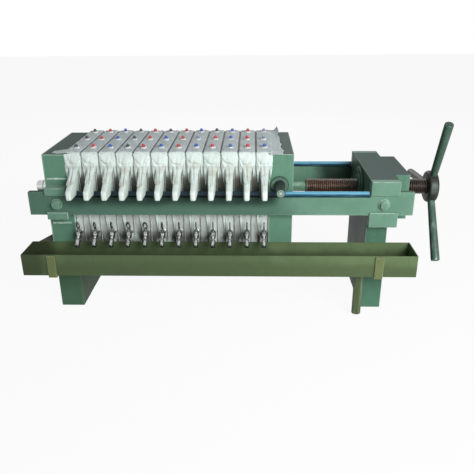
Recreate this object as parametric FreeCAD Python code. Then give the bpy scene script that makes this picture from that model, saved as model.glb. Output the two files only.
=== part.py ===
import FreeCAD, Part
import math
import os

from FreeCAD import Vector

# Manual plate-and-frame filter press, in millimetres.
# X runs along the press towards the closing handle, Y from front to back, Z up.
# The origin is on the floor, in the middle of the fixed head's leg.

# Common heights and widths
axis_height = 552.0
plate_size = 457.0
head_side_margin = 6.5
head_width = plate_size + 2 * head_side_margin
face_chamfer = 2.5
seat_gap = 0.3

# Fixed head and its leg
fixed_leg_thickness = 112.0
fixed_head_thickness = 118.0
head_top_margin = 6.5
head_height = plate_size - 2 * head_top_margin
leg_width = head_width

# Plate pack: a plate at each end, and a frame between every two plates
plate_count = 12
plate_thickness = 40.0
frame_thickness = 36.0
cloth_thickness = 1.0
cloth_slot = cloth_thickness + 2 * seat_gap
frame_border = 42.0
drain_recess = 2.0
handle_thickness = 28.0
handle_reach = 130.0
handle_root_height = 152.0
handle_tip_top = 84.0
handle_tip_bottom = 41.0
handle_root_bottom = 0.0
handle_round = 5.0

# Side rails and the round slide bars on top of them
rail_thickness = 25.0
rail_gap = 15.0
rail_height = 110.0
rail_rise = 57.0
rail_left_overhang = 73.0
rail_right_overhang = 69.0
bar_diameter = 25.0
bar_end_gap = 4.0
rail_pin_head_diameter = 51.0
rail_pin_head_length = 25.0
rail_pin_diameter = 30.0
rail_pin_depth = 40.0

# Hooked keepers that hold the rails to the heads
keeper_lip = 12.0
keeper_overlap = 14.0
fixed_keeper_width = 96.0
fixed_keeper_height = 20.0
keeper_chamfer = 2.0

# Moving head, its stub axles and rollers
moving_head_thickness = 110.0
roller_flange_diameter = 84.0
roller_flange_width = 7.5
roller_tread_diameter = 44.0
roller_side_gap = 2.0
roller_bore_gap = 0.4
axle_diameter = 24.0
axle_grip_diameter = 40.0
axle_grip_length = 76.0
roller_from_back = 40.0

# Screw, nut and closing handle
screw_diameter = 76.0
screw_gap = 0.6
neck_diameter = 46.0
neck_length = 68.0
nose_diameter = 62.0
nose_thickness = 16.0
nose_gap = 1.0
collar_diameter = 104.0
collar_thickness = 12.0
nut_flange_diameter = 160.0
nut_flange_thickness = 18.0
nut_barrel_diameter = 104.0
hub_diameter = 156.0
hub_thickness = 50.0
hub_chamfer = 5.0
hub_flat_depth = 4.0
hub_stand_off = 126.0
hub_bore = 52.0
journal_gap = 0.1
arm_count = 3
arm_root_diameter = 34.0
arm_diameter = 39.0
arm_length = 375.0
arm_socket_depth = 26.0
arm_socket_gap = 0.15
arm_lean_angle = 24.7

# Crosshead
head_travel = 250.0
travel_reserve = 80.0
crosshead_thickness = 128.0
crosshead_bulge = 69.0
crosshead_bulge_width = 340.0
crosshead_height = 216.0
crosshead_leg_thickness = 98.0

# Collecting tray in front of the plates
tray_rim_gap = 1.56
tray_height = 103.0
tray_depth = 160.0
tray_sheet = 4.0
tray_gap = 5.0
tray_left_overhang = 98.0
tray_right_overhang = 110.0
drain_diameter = 42.4
drain_wall = 3.2
drain_floor_gap = 18.0
drain_from_right = 242.0
bracket_width = 38.0
bracket_bar = 8.0
bracket_lip_drop = 4.0
fixed_bracket_offset = -16.0
crosshead_bracket_offset = -12.0
gusset_sheet = 4.0
gusset_reach = 180.0
gusset_inset = 30.0

# Feed pipe
feed_diameter = 60.3
feed_wall = 5.0
feed_length = 125.0

# Drain cocks, one on each plate
small_bar_sides = 10
cock_reach = 43.0
cock_rise = 76.5
nipple_diameter = 15.0
cock_flange_diameter = 26.0
cock_flange_thickness = 5.0
barrel_diameter = 25.0
barrel_height = 36.0
key_plug_diameter = 13.0
key_plug_gap = 0.3
key_plug_depth = 26.0
key_neck_width = 12.0
key_neck_height = 9.0
key_wing_width = 30.0
key_wing_height = 38.0
key_wing_thickness = 6.0
key_wing_hole = 0.45
key_wing_sides = 14
spout_diameter = 17.0
spout_bore = 10.0
spout_length = 60.0
spout_angle = 45.0

# Filter cloths over the plates
cloth_fin = 18.0
fin_tray_gap = 6.0
cloth_top_thickness = 3.0
cloth_side_gap = 1.0
flap_thickness = 4.0
flap_drop = 128.0
flap_slot_width = 34.0

# Derived places along X
fixed_leg_left = -fixed_leg_thickness / 2
fixed_head_left = fixed_leg_left
fixed_head_right = fixed_head_left + fixed_head_thickness
plate_pitch = plate_thickness + frame_thickness + 2 * cloth_slot
first_plate_left = fixed_head_right + cloth_slot
pack_right = first_plate_left + (plate_count - 1) * plate_pitch + plate_thickness + cloth_slot
moving_head_left = pack_right
moving_head_right = moving_head_left + moving_head_thickness
roller_x = moving_head_right - roller_from_back - roller_tread_diameter / 2
nut_flange_left = moving_head_right + head_travel + travel_reserve
crosshead_left = nut_flange_left + nut_flange_thickness
crosshead_right = crosshead_left + crosshead_thickness
bulge_right = crosshead_right + crosshead_bulge
crosshead_middle = (crosshead_left + crosshead_right) / 2
hub_left = bulge_right + hub_stand_off
crosshead_leg_right = crosshead_left + crosshead_leg_thickness
rail_left = fixed_head_left - rail_left_overhang
rail_right = crosshead_right + rail_right_overhang

# Derived places across Y and up Z
head_side = head_width / 2
plate_side = plate_size / 2
rail_inner = head_side + rail_gap
rail_outer = rail_inner + rail_thickness
bar_y = rail_inner + rail_thickness / 2
rail_bottom = axis_height + rail_rise - rail_height
rail_top = rail_bottom + rail_height
bar_seat = rail_top - bar_diameter
bar_z = rail_top - bar_diameter / 2
head_bottom = axis_height - head_height / 2
head_top = axis_height + head_height / 2
plate_bottom = axis_height - plate_size / 2
plate_top = axis_height + plate_size / 2
keeper_outer = rail_outer + keeper_lip
crosshead_bottom = axis_height - crosshead_height / 2
crosshead_top = axis_height + crosshead_height / 2
roller_z = rail_top + seat_gap + roller_tread_diameter / 2
cock_axis_y = plate_side + cock_reach
cock_height = plate_bottom + cock_rise
lean = math.radians(spout_angle)
spout_bottom = cock_height - spout_length * math.sin(lean) - spout_diameter / 2 * math.cos(lean)
tray_rim_height = spout_bottom - tray_rim_gap


def block(x, y, z):
    """A box between the two ends given for each axis."""
    return Part.makeBox(x[1] - x[0], y[1] - y[0], z[1] - z[0], Vector(x[0], y[0], z[0]))


def rod(diameter, start, direction, length):
    """A round bar from a start point along a direction."""
    return Part.makeCylinder(diameter / 2, length, Vector(*start), Vector(*direction))


def sided_rod(diameter, start, direction, length):
    """A small round bar, simplified to a few flat sides."""
    turns = [2 * math.pi * (step + 0.5) / small_bar_sides for step in range(small_bar_sides)]
    outline = [(diameter / 2 * math.cos(turn), diameter / 2 * math.sin(turn), 0) for turn in turns]
    bar = prism(outline, (0, 0, length))
    bar.Placement = FreeCAD.Placement(
        Vector(*start), FreeCAD.Rotation(Vector(0, 0, 1), Vector(*direction))
    )
    return bar


def mirrored(shape):
    """The same piece on the other side of the press."""
    return shape.mirror(Vector(0, 0, 0), Vector(0, 1, 0))


def moved(shape, x=0.0, y=0.0, z=0.0):
    """A copy of the shape, shifted."""
    copy = shape.copy()
    copy.translate(Vector(x, y, z))
    return copy


def prism(points, direction):
    """A straight extrusion of a closed outline."""
    corners = [Vector(*point) for point in points]
    return Part.Face(Part.makePolygon(corners + corners[:1])).extrude(Vector(*direction))


def turned(points, centre, axis):
    """A solid of revolution: points are (radius, distance along the axis)."""
    corners = [Vector(radius, 0, along) for radius, along in points]
    shape = Part.Face(Part.makePolygon(corners + corners[:1])).revolve(
        Vector(0, 0, 0), Vector(0, 0, 1), 360
    )
    shape.Placement = FreeCAD.Placement(
        Vector(*centre), FreeCAD.Rotation(Vector(0, 0, 1), Vector(*axis))
    )
    return shape


def broken_edges(shape, size, keep):
    """Chamfers the straight edges that the keep test accepts."""
    edges = [edge for edge in shape.Edges if keep(edge)]
    return shape.makeChamfer(size, edges)


def runs_along(edge, axis):
    """True where a straight edge runs along one of the axes."""
    direction = edge.Vertexes[-1].Point - edge.Vertexes[0].Point
    return direction.Length > 1 and abs(direction.normalize()[axis]) > 0.999


def save(name, *solids):
    """Writes one node, as a single solid or as several that don't touch."""
    shape = solids[0] if len(solids) == 1 else Part.makeCompound(list(solids))
    shape.exportStep("parts/" + name + ".step")


def both_sides(shape):
    return [shape, mirrored(shape)]


def pin_hole(x, z, deep):
    """The holes for the rail pins, through the rails and into the sides of a head."""
    hole = rod(rail_pin_diameter + 2 * seat_gap, (x, -rail_outer - 1, z), (0, 1, 0), deep + 1)
    return hole.fuse(mirrored(hole))


def fixed_head():
    """The plate that the pack is pressed against, with its feed bore and pin holes."""
    head = block(
        (fixed_head_left, fixed_head_right), (-head_side, head_side), (head_bottom, head_top)
    )
    head = broken_edges(head, face_chamfer, lambda edge: runs_along(edge, 0))
    bore = rod(
        feed_diameter - 2 * feed_wall,
        (fixed_head_left - 1, 0, axis_height),
        (1, 0, 0),
        fixed_head_thickness + 2,
    )
    pins = pin_hole(0.0, axis_height, rail_outer - head_side + rail_pin_depth)
    save("fixed_head", head.cut(bore).cut(pins))


def box_leg(left, right, top):
    """A closed leg of welded plate, as deep as the heads are wide."""
    leg = block((left, right), (-leg_width / 2, leg_width / 2), (0, top))
    return broken_edges(leg, face_chamfer, lambda edge: runs_along(edge, 2))


def feed_pipe():
    """The pipe stub that brings slurry into the fixed head."""
    start = (fixed_head_left - feed_length, 0, axis_height)
    pipe = rod(feed_diameter, start, (1, 0, 0), feed_length)
    save("feed_pipe", pipe.cut(rod(feed_diameter - 2 * feed_wall, start, (1, 0, 0), feed_length)))


def side_rail():
    """A flat bar, stepped down between the heads to seat the round slide bar."""
    rail = block((rail_left, rail_right), (-rail_outer, -rail_inner), (rail_bottom, rail_top))
    step = block(
        (fixed_head_right, crosshead_left), (-rail_outer, -rail_inner), (bar_seat, rail_top)
    )
    rail = broken_edges(rail.cut(step), 1.0, lambda edge: runs_along(edge, 1))
    for x in (0.0, crosshead_middle):
        rail = rail.cut(pin_hole(x, axis_height, rail_outer - rail_inner + 5))
    return rail


def slide_bar():
    """The round bar on which the plate handles and the rollers rest."""
    left = fixed_head_right + bar_end_gap
    length = crosshead_left - bar_end_gap - left
    return rod(bar_diameter, (left, -bar_y, bar_z), (1, 0, 0), length)


def keeper(left, right, inner, outside, lip_edge):
    """A hooked block over or under a rail; its lip laps the rail's outer face."""
    near = lip_edge + (seat_gap if lip_edge > axis_height else -seat_gap)
    overlap = keeper_overlap if lip_edge > axis_height else -keeper_overlap
    outline = [
        (left, -inner, near),
        (left, -inner, outside),
        (left, -keeper_outer, outside),
        (left, -keeper_outer, near - overlap),
        (left, -rail_outer - seat_gap, near - overlap),
        (left, -rail_outer - seat_gap, near),
    ]
    body = prism(outline, (right - left, 0, 0))
    return broken_edges(body, keeper_chamfer, lambda edge: edge_on_front(edge, keeper_outer))


def edge_on_front(edge, outer):
    """True for the edges that lie on the outer front face."""
    return all(abs(vertex.Point.y + outer) < 0.01 for vertex in edge.Vertexes)


def rail_keepers():
    """Two keepers at each end of each rail, above it and below it."""
    left, right = -fixed_keeper_width / 2, fixed_keeper_width / 2
    upper = [
        keeper(left, right, head_side, rail_top + fixed_keeper_height, rail_top),
        keeper(crosshead_left, crosshead_right, rail_inner, crosshead_top, rail_top),
    ]
    lower = [
        keeper(left, right, head_side, rail_bottom - fixed_keeper_height, rail_bottom),
        keeper(crosshead_left, crosshead_right, rail_inner, crosshead_bottom, rail_bottom),
    ]
    save("upper_rail_keepers", *upper, *[mirrored(piece) for piece in upper])
    save("lower_rail_keepers", *lower, *[mirrored(piece) for piece in lower])


def rail_pin(x, inner):
    """A headed pin through a rail into the side of a head."""
    shank = rod(
        rail_pin_diameter,
        (x, -rail_outer - seat_gap, axis_height),
        (0, 1, 0),
        rail_outer - inner + rail_pin_depth,
    )
    head = rod(
        rail_pin_head_diameter,
        (x, -rail_outer - seat_gap, axis_height),
        (0, -1, 0),
        rail_pin_head_length,
    )
    return shank.fuse(head).removeSplitter()


def rail_pins():
    pins = [rail_pin(0.0, head_side), rail_pin(crosshead_middle, rail_inner)]
    save("rail_pins", *pins, *[mirrored(pin) for pin in pins])


def plate_handle():
    """The tapered lug that carries a plate on the slide bar, notched over the bar."""
    tip_y = -plate_side - handle_reach
    outline = [
        (0, -plate_side + 1, axis_height + handle_root_height),
        (0, tip_y + handle_round, axis_height + handle_tip_top),
        (0, tip_y, axis_height + handle_tip_top - handle_round),
        (0, tip_y, axis_height + handle_tip_bottom + handle_round),
        (0, tip_y + handle_round, axis_height + handle_tip_bottom),
        (0, -rail_inner + 2, axis_height + handle_tip_bottom),
        (0, -plate_side + 1, axis_height + handle_root_bottom),
    ]
    handle = moved(prism(outline, (handle_thickness, 0, 0)), x=-handle_thickness / 2)
    handle = broken_edges(handle, handle_round, on_handle_top)
    seat = rod(
        bar_diameter + 2 * seat_gap, (-plate_thickness, -bar_y, bar_z), (1, 0, 0), 2 * plate_thickness
    )
    half = bar_diameter / 2 + seat_gap
    throat = block(
        (-plate_thickness, plate_thickness),
        (-bar_y - half, -bar_y + half),
        (axis_height, bar_z),
    )
    return handle.cut(seat).cut(throat)


def on_handle_top(edge):
    """True for the long sloping edges of a handle's upper side."""
    ends = [vertex.Point for vertex in edge.Vertexes]
    low = min(point.z for point in ends)
    return abs(ends[0].y - ends[-1].y) > 20 and low > axis_height + handle_tip_top - 1


def filter_plate():
    """A moulded plate with a drained filter face on each side and a handle at each end."""
    body = block(
        (-plate_thickness / 2, plate_thickness / 2),
        (-plate_side, plate_side),
        (plate_bottom, plate_top),
    )
    body = broken_edges(body, face_chamfer, lambda edge: runs_along(edge, 0))
    inner = plate_side - frame_border
    face = block((0, drain_recess), (-inner, inner), (axis_height - inner, axis_height + inner))
    body = body.cut(moved(face, x=plate_thickness / 2 - drain_recess))
    body = body.cut(moved(face, x=-plate_thickness / 2))
    handle = plate_handle()
    body = body.fuse([handle, mirrored(handle)]).removeSplitter()
    outlet = sided_rod(
        nipple_diameter + 2 * seat_gap,
        (0, -plate_side + frame_border - 1, cock_height),
        (0, -1, 0),
        frame_border,
    )
    return body.cut(outlet)


def filter_frame():
    """A hollow frame that holds the cake between two plates."""
    half = frame_thickness / 2
    body = block((-half, half), (-plate_side, plate_side), (plate_bottom, plate_top))
    body = broken_edges(body, face_chamfer, lambda edge: runs_along(edge, 0))
    inner = plate_side - frame_border
    return body.cut(
        block((-half - 1, half + 1), (-inner, inner), (axis_height - inner, axis_height + inner))
    )


def plate_x(index):
    """The middle of a plate along the press."""
    return first_plate_left + plate_thickness / 2 + index * plate_pitch


def filter_cloth():
    """A cloth hung over a plate: down both of its faces, with a flap over each side."""
    wall = plate_thickness / 2 + seat_gap
    reach = plate_side + cloth_fin
    top = plate_top + seat_gap
    half = plate_pitch / 2 - cloth_side_gap
    sheet = block((wall, wall + cloth_thickness), (-plate_side, plate_side), (plate_bottom, top))
    fins = block((wall, wall + cloth_thickness), (-reach, reach), (tray_rim_height + fin_tray_gap, top))
    sheet = sheet.fuse(fins).removeSplitter()
    cover = block((-half, half), (-reach, reach), (top, top + cloth_top_thickness))
    flap = block(
        (-half, half),
        (-reach - flap_thickness, -reach),
        (top + cloth_top_thickness - flap_drop, top + cloth_top_thickness),
    )
    slot = block(
        (-flap_slot_width / 2, flap_slot_width / 2),
        (-reach - flap_thickness, -reach),
        (bar_z, axis_height + handle_root_height),
    )
    flap = flap.cut(slot)
    pieces = [moved(sheet, x=-2 * wall - cloth_thickness), cover, flap, mirrored(flap)]
    return sheet.fuse(pieces).removeSplitter()


def plate_pack():
    plate, frame, cloth = filter_plate(), filter_frame(), filter_cloth()
    places = [plate_x(index) for index in range(plate_count)]
    save("filter_plates", *[moved(plate, x=x) for x in places])
    save("filter_frames", *[moved(frame, x=x + plate_pitch / 2) for x in places[:-1]])
    save("filter_cloths", *[moved(cloth, x=x) for x in places])


def cock_body():
    """A drain cock: nipple and flange, upright barrel, and a spout that leans forward."""
    depth = frame_border - 4
    face = (0, -plate_side - seat_gap, cock_height)
    nipple = sided_rod(
        nipple_diameter, (0, -plate_side + depth, cock_height), (0, -1, 0), depth + cock_reach
    )
    flange = sided_rod(cock_flange_diameter, face, (0, -1, 0), cock_flange_thickness)
    bottom = (0, -cock_axis_y, cock_height - barrel_height / 2)
    barrel = sided_rod(barrel_diameter, bottom, (0, 0, 1), barrel_height)
    slope = (0, -math.cos(lean), -math.sin(lean))
    spout = sided_rod(spout_diameter, (0, -cock_axis_y, cock_height), slope, spout_length)
    body = nipple.fuse([flange, barrel, spout]).removeSplitter()
    plug_hole = rod(
        key_plug_diameter + 2 * key_plug_gap,
        (0, -cock_axis_y, cock_height + barrel_height / 2 - key_plug_depth - key_plug_gap),
        (0, 0, 1),
        key_plug_depth + 10,
    )
    inset = barrel_diameter / 2 + 2
    start = (0, -cock_axis_y - inset * math.cos(lean), cock_height - inset * math.sin(lean))
    return body.cut(plug_hole).cut(sided_rod(spout_bore, start, slope, spout_length))


def cock_key():
    """The turning key: a round plug in the barrel and an oval wing to hold."""
    top = cock_height + barrel_height / 2
    plug = sided_rod(
        key_plug_diameter,
        (0, -cock_axis_y, top - key_plug_depth),
        (0, 0, 1),
        key_plug_depth + seat_gap,
    )
    half = key_neck_width / 2
    neck = block(
        (-half, half),
        (-cock_axis_y - half, -cock_axis_y + half),
        (top + seat_gap, top + key_neck_height),
    )
    middle = top + key_neck_height + key_wing_height / 2 - 2
    wing = oval(key_wing_width, key_wing_height, middle)
    hole = oval(key_wing_width * key_wing_hole, key_wing_height * key_wing_hole, middle + 2)
    return plug.fuse([neck, wing.cut(hole)]).removeSplitter()


def oval(width, height, middle):
    """A flat oval plate that stands up, facing along X."""
    turns = [2 * math.pi * (step + 0.5) / key_wing_sides for step in range(key_wing_sides)]
    outline = [
        (
            -key_wing_thickness / 2,
            -cock_axis_y + width / 2 * math.cos(turn),
            middle + height / 2 * math.sin(turn),
        )
        for turn in turns
    ]
    return prism(outline, (key_wing_thickness, 0, 0))


def drain_cocks():
    body, key = cock_body(), cock_key()
    save("cock_bodies", *[moved(body, x=plate_x(index)) for index in range(plate_count)])
    for index in range(plate_count):
        save("cock_key_%02d" % (index + 1), moved(key, x=plate_x(index)))


def moving_head():
    """The follower that squeezes the pack, with the screw's cup in its back."""
    head = block(
        (moving_head_left, moving_head_right), (-head_side, head_side), (head_bottom, head_top)
    )
    head = broken_edges(head, face_chamfer, lambda edge: runs_along(edge, 0))
    cup_depth = nose_thickness + 2 * nose_gap
    cup = rod(
        nose_diameter + 4 * nose_gap,
        (moving_head_right - cup_depth, 0, axis_height),
        (1, 0, 0),
        cup_depth + 1,
    )
    save("moving_head", head.cut(cup))
    start = (moving_head_right, 0, axis_height)
    collar = rod(collar_diameter, start, (1, 0, 0), collar_thickness)
    hole = rod(neck_diameter + 2 * nose_gap, start, (1, 0, 0), collar_thickness)
    save("thrust_collar", collar.cut(hole))


def axle_and_roller():
    """A stub axle with a round outer grip, and the flanged roller that turns on it."""
    inner = head_side + roller_side_gap
    shoulder = inner + roller_flange_width
    outer = rail_outer + keeper_lip
    axle = turned(
        [
            (0, 0),
            (axle_diameter / 2, 0),
            (axle_diameter / 2, outer - head_side + roller_side_gap),
            (axle_grip_diameter / 2, outer - head_side + roller_side_gap),
            (axle_grip_diameter / 2, outer - head_side + axle_grip_length),
            (0, outer - head_side + axle_grip_length),
        ],
        (roller_x, -head_side, roller_z),
        (0, -1, 0),
    )
    bore = axle_diameter / 2 + roller_bore_gap
    flange = roller_flange_diameter / 2
    tread = roller_tread_diameter / 2
    roller = turned(
        [
            (bore, 0),
            (flange, 0),
            (flange, shoulder - inner),
            (tread, shoulder - inner),
            (tread, outer - inner),
            (bore, outer - inner),
        ],
        (roller_x, -inner, roller_z),
        (0, -1, 0),
    )
    return axle, roller


def head_carriage():
    axle, roller = axle_and_roller()
    save("roller_axles", axle, mirrored(axle))
    save("front_roller", roller)
    save("rear_roller", mirrored(roller))


def screw_spindle():
    """The closing screw: a nose held in the moving head, a thin neck, and the screwed length."""
    nose_left = moving_head_right - nose_gap - nose_thickness
    journal = hub_bore / 2 - journal_gap
    points = [
        (0, nose_left),
        (nose_diameter / 2, nose_left),
        (nose_diameter / 2, nose_left + nose_thickness),
        (neck_diameter / 2, nose_left + nose_thickness),
        (neck_diameter / 2, moving_head_right + neck_length),
        (screw_diameter / 2 - 3, moving_head_right + neck_length),
        (screw_diameter / 2, moving_head_right + neck_length + 3),
        (screw_diameter / 2, hub_left - seat_gap),
        (journal, hub_left - seat_gap),
        (journal, hub_left + hub_thickness),
        (0, hub_left + hub_thickness),
    ]
    save("screw_spindle", turned(points, (0, 0, axis_height), (1, 0, 0)))


def screw_nut():
    """The flanged nut that is pressed into the crosshead."""
    flange = rod(nut_flange_diameter, (nut_flange_left, 0, axis_height), (1, 0, 0), nut_flange_thickness)
    barrel = rod(
        nut_barrel_diameter,
        (nut_flange_left, 0, axis_height),
        (1, 0, 0),
        bulge_right - nut_flange_left,
    )
    bore = rod(
        screw_diameter + 2 * screw_gap,
        (nut_flange_left - 1, 0, axis_height),
        (1, 0, 0),
        bulge_right - nut_flange_left + 2,
    )
    save("screw_nut", flange.fuse(barrel).removeSplitter().cut(bore))


def arm_direction(index):
    """The direction of an arm, turned evenly round the screw's axis."""
    angle = math.radians(arm_lean_angle + index * 360.0 / arm_count)
    return (0, -math.sin(angle), math.cos(angle))


def handle_arm(index):
    """An arm whose thinner root sits in a socket in a flat of the hub's rim."""
    seat = hub_diameter / 2 - hub_flat_depth
    points = [
        (0, seat - arm_socket_depth),
        (arm_root_diameter / 2, seat - arm_socket_depth),
        (arm_root_diameter / 2, seat + seat_gap),
        (arm_diameter / 2, seat + seat_gap),
        (arm_diameter / 2, arm_length),
        (0, arm_length),
    ]
    centre = (hub_left + hub_thickness / 2, 0, axis_height)
    return turned(points, centre, arm_direction(index))


def arm_socket(index):
    """The flat on the hub's rim and the hole in it for the root of an arm."""
    seat = hub_diameter / 2 - hub_flat_depth
    direction = Vector(*arm_direction(index))
    centre = Vector(hub_left + hub_thickness / 2, 0, axis_height)
    start = centre + direction * (seat - arm_socket_depth - arm_socket_gap)
    hole = rod(arm_root_diameter + 2 * arm_socket_gap, start, direction, arm_length)
    return hole.fuse(rod(hub_diameter, centre + direction * seat, direction, hub_flat_depth + 1))


def closing_handle():
    """The hub, a thick disc with broken rims, and its three arms."""
    hub = turned(
        [
            (hub_bore / 2, 0),
            (hub_diameter / 2 - hub_chamfer, 0),
            (hub_diameter / 2, hub_chamfer),
            (hub_diameter / 2, hub_thickness - hub_chamfer),
            (hub_diameter / 2 - hub_chamfer, hub_thickness),
            (hub_bore / 2, hub_thickness),
        ],
        (hub_left, 0, axis_height),
        (1, 0, 0),
    )
    for index in range(arm_count):
        hub = hub.cut(arm_socket(index))
    save("handle_hub", hub)
    save("handle_arms", *[handle_arm(index) for index in range(arm_count)])


def crosshead():
    """The block that takes the screw's thrust: wide in the middle, notched for the rails."""
    half = crosshead_bulge_width / 2
    outline = [
        (crosshead_left, -rail_inner, crosshead_bottom),
        (crosshead_right, -rail_inner, crosshead_bottom),
        (crosshead_right, -half, crosshead_bottom),
        (bulge_right, -half, crosshead_bottom),
        (bulge_right, half, crosshead_bottom),
        (crosshead_right, half, crosshead_bottom),
        (crosshead_right, rail_inner, crosshead_bottom),
        (crosshead_left, rail_inner, crosshead_bottom),
    ]
    body = prism(outline, (0, 0, crosshead_height))
    body = broken_edges(body, face_chamfer, lambda edge: runs_along(edge, 2))
    bore = rod(
        nut_barrel_diameter + 2 * seat_gap,
        (crosshead_left - 1, 0, axis_height),
        (1, 0, 0),
        bulge_right - crosshead_left + 2,
    )
    pins = pin_hole(crosshead_middle, axis_height, rail_outer - rail_inner + rail_pin_depth)
    save("crosshead", body.cut(bore).cut(pins))


def collecting_tray():
    """The long trough that catches what the cocks let out, with its drain hole."""
    back = -head_side - tray_gap
    x = (fixed_leg_left - tray_left_overhang, crosshead_leg_right + tray_right_overhang)
    y = (back - tray_depth, back)
    bottom = tray_rim_height - tray_height
    trough = block(x, y, (bottom, tray_rim_height))
    inside = block(
        (x[0] + tray_sheet, x[1] - tray_sheet),
        (y[0] + tray_sheet, y[1] - tray_sheet),
        (bottom + tray_sheet, tray_rim_height + 1),
    )
    drain_x = x[1] - drain_from_right
    middle = (y[0] + y[1]) / 2
    hole = rod(drain_diameter - 2 * drain_wall, (drain_x, middle, bottom - 1), (0, 0, 1), tray_sheet + 2)
    save("collecting_tray", trough.cut(inside).cut(hole))
    pipe_length = bottom - drain_floor_gap
    pipe = rod(drain_diameter, (drain_x, middle, drain_floor_gap), (0, 0, 1), pipe_length)
    bore = rod(drain_diameter - 2 * drain_wall, (drain_x, middle, drain_floor_gap), (0, 0, 1), pipe_length)
    save("tray_drain_pipe", pipe.cut(bore))


def tray_brackets():
    """Flat bars under the tray, turned up at the front to hold it."""
    bottom = tray_rim_height - tray_height
    front = -head_side - tray_gap - tray_depth
    outline = [
        (0, -head_side, bottom - bracket_bar),
        (0, -head_side, bottom),
        (0, front, bottom),
        (0, front, tray_rim_height - bracket_lip_drop),
        (0, front - bracket_bar, tray_rim_height - bracket_lip_drop),
        (0, front - bracket_bar, bottom - bracket_bar),
    ]
    bar = moved(prism(outline, (bracket_width, 0, 0)), x=-bracket_width / 2)
    bar = broken_edges(bar, 1.5, lambda edge: edge_on_front(edge, -(front - bracket_bar)))
    middle = (crosshead_left + crosshead_leg_right) / 2
    save(
        "tray_brackets",
        moved(bar, x=fixed_bracket_offset),
        moved(bar, x=middle + crosshead_bracket_offset),
    )


def tray_gusset():
    """A three-cornered sheet between the fixed leg and the tray's overhanging end."""
    back = -head_side - tray_gap
    reach = tray_left_overhang - gusset_inset
    z = tray_rim_height - gusset_sheet
    outline = [
        (fixed_leg_left, back, z),
        (fixed_leg_left - reach, back, z),
        (fixed_leg_left, back + gusset_reach, z),
    ]
    save("tray_gusset", prism(outline, (0, 0, gusset_sheet)))


def main():
    os.makedirs("parts", exist_ok=True)
    fixed_head()
    save("fixed_head_leg", box_leg(fixed_leg_left, -fixed_leg_left, head_bottom))
    feed_pipe()
    for side, shapes in zip(("front", "rear"), zip(both_sides(side_rail()), both_sides(slide_bar()))):
        save(side + "_rail", shapes[0])
        save(side + "_slide_bar", shapes[1])
    rail_keepers()
    rail_pins()
    plate_pack()
    drain_cocks()
    moving_head()
    head_carriage()
    screw_spindle()
    screw_nut()
    closing_handle()
    crosshead()
    save("crosshead_leg", box_leg(crosshead_left, crosshead_leg_right, crosshead_bottom))
    collecting_tray()
    tray_brackets()
    tray_gusset()


main()
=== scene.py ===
import math

import bpy
import numpy as np
from mathutils import Matrix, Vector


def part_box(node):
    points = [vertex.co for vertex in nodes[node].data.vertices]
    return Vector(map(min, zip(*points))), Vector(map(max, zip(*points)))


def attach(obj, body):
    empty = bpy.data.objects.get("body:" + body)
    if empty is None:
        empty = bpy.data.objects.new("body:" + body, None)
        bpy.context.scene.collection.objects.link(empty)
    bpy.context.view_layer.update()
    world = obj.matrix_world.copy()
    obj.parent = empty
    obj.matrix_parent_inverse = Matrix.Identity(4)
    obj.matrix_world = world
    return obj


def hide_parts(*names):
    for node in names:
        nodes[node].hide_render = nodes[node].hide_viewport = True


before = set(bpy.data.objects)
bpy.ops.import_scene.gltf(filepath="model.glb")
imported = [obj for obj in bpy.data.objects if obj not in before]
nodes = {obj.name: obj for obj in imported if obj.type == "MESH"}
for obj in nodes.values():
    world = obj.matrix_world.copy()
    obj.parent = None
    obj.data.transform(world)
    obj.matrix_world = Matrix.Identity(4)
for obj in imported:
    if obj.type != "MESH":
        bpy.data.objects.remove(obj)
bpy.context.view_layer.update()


# ---------------------------------------------------------------- viewpoint
# A person standing about two and a half metres in front of the tray, at eye
# height, looking slightly down on the press.
eye = (0.9038, -2.7244, 1.4088)
yaw, dip, tilt = -0.0305, 0.394, -0.0085
camera = bpy.data.objects.new("camera", bpy.data.cameras.new("camera"))
camera.data.lens = 43.1
camera.data.sensor_width = 36.0
camera.matrix_world = (
    Matrix.Translation(eye)
    @ Matrix.Rotation(-yaw, 4, "Z")
    @ Matrix.Rotation(math.pi / 2 - dip, 4, "X")
    @ Matrix.Rotation(tilt, 4, "Z")
)
bpy.context.scene.collection.objects.link(camera)
bpy.context.scene.camera = camera


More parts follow.
